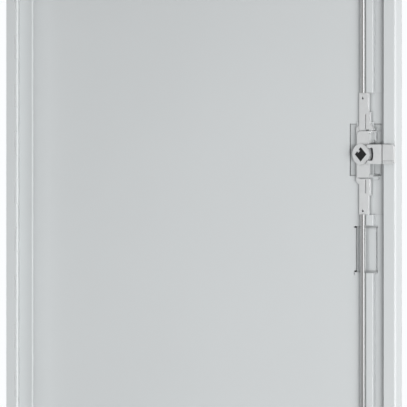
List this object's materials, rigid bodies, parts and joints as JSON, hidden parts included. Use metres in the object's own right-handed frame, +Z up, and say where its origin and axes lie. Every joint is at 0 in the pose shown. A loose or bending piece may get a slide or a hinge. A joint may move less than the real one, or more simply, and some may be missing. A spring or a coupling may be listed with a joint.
{
  "type": "enclosure door with continuous hinge and rod lock",
  "caption": "Sheet-steel enclosure door on a full-height piano hinge, with a three-point rod lock, hooked tongue and folding swing handle.",
  "frame": {"origin": "the middle of the frame leaf's row of screw holes, on the face that lies against the enclosure, at the hinge's mid-height", "axes": "+Z up along the hinge pin, +X across the closed door from the hinge to the lock side, +Y out of the enclosure; the inside of the door faces -Y"},
  "size_m": [0.5922, 0.0548, 0.82],
  "materials": {
    "door_paint": "light-grey powder coat, fine texture, semi-matt",
    "hinge_steel": "light-grey powder coat over rolled steel strip",
    "pin_steel": "drawn steel wire",
    "zinc_plate": "bright zinc plate, slightly milky",
    "bright_rod": "bright drawn and plated round bar",
    "dark_steel": "plain zinc-plated steel",
    "black_plastic": "black glass-filled polyamide, fine grain",
    "nylon": "natural polyamide, waxy",
    "rubber": "black rubber, matt",
    "handle_coating": "light-grey powder coat on a zinc casting",
    "nickel": "satin nickel"
  },
  "bodies": {
    "hinge_frame": {"hinge_frame_leaf": "hinge_steel", "hinge_pin": "pin_steel"},
    "door": {"door_panel": "door_paint", "hinge_door_leaf": "hinge_steel", "lock_rail_upper": "door_paint", "lock_rail_lower": "door_paint", "lock_base_plate": "door_paint", "lock_case": "zinc_plate", "rod_guide_upper": "nylon", "rod_guide_lower": "nylon", "rod_bush_upper": "nylon", "rod_bush_lower": "nylon", "guide_studs": "dark_steel", "guide_nuts": "dark_steel", "handle_gasket": "rubber", "handle_base": "handle_coating", "cam_cover": "door_paint", "handle_screws": "dark_steel", "cylinder_housing": "nickel"},
    "lock_drive": {"drive_pinion": "dark_steel", "spindle": "dark_steel", "hub_cap": "zinc_plate", "hub_plug": "black_plastic", "tongue": "zinc_plate", "tongue_rivets": "zinc_plate", "lever_carrier": "black_plastic", "lever_pin": "pin_steel"},
    "upper_rod_set": {"upper_slide": "zinc_plate", "upper_rod": "bright_rod", "rod_lock_pin_upper": "dark_steel"},
    "lower_rod_set": {"lower_slide": "zinc_plate", "lower_rod": "bright_rod", "rod_lock_pin_lower": "dark_steel"},
    "lever": {"lever": "black_plastic"},
    "key": {"cylinder_plug": "nickel", "cylinder_cam": "nickel"}
  },
  "joints": [
    {"name": "door_swing", "type": "hinge", "parent": "hinge_frame", "child": "door", "pos_m": [0.009, 0.0022, 0], "axis": [0, 0, 1], "range_deg": [0, 95]},
    {"name": "handle_turn", "type": "hinge", "parent": "door", "child": "lock_drive", "pos_m": [0.5295, 0, 0.0605], "axis": [0, 1, 0], "range_deg": [0, 90]},
    {"name": "upper_rod_slide", "type": "slide", "parent": "door", "child": "upper_rod_set", "axis": [0, 0, 1], "range_m": [-0.0118, 0]},
    {"name": "lower_rod_slide", "type": "slide", "parent": "door", "child": "lower_rod_set", "axis": [0, 0, 1], "range_m": [0, 0.0118]},
    {"name": "lever_lift", "type": "hinge", "parent": "lock_drive", "child": "lever", "pos_m": [0.5295, 0.0492, 0.0605], "axis": [1, 0, 0], "range_deg": [0, 30]},
    {"name": "key_turn", "type": "hinge", "parent": "door", "child": "key", "pos_m": [0.5295, 0.0382, -0.059], "axis": [0, 1, 0], "range_deg": [0, 90]}
  ],
  "couplings": [
    {"joint": "upper_rod_slide", "follows": "handle_turn", "m_per_rad": -0.0075},
    {"joint": "lower_rod_slide", "follows": "handle_turn", "m_per_rad": 0.0075}
  ]
}
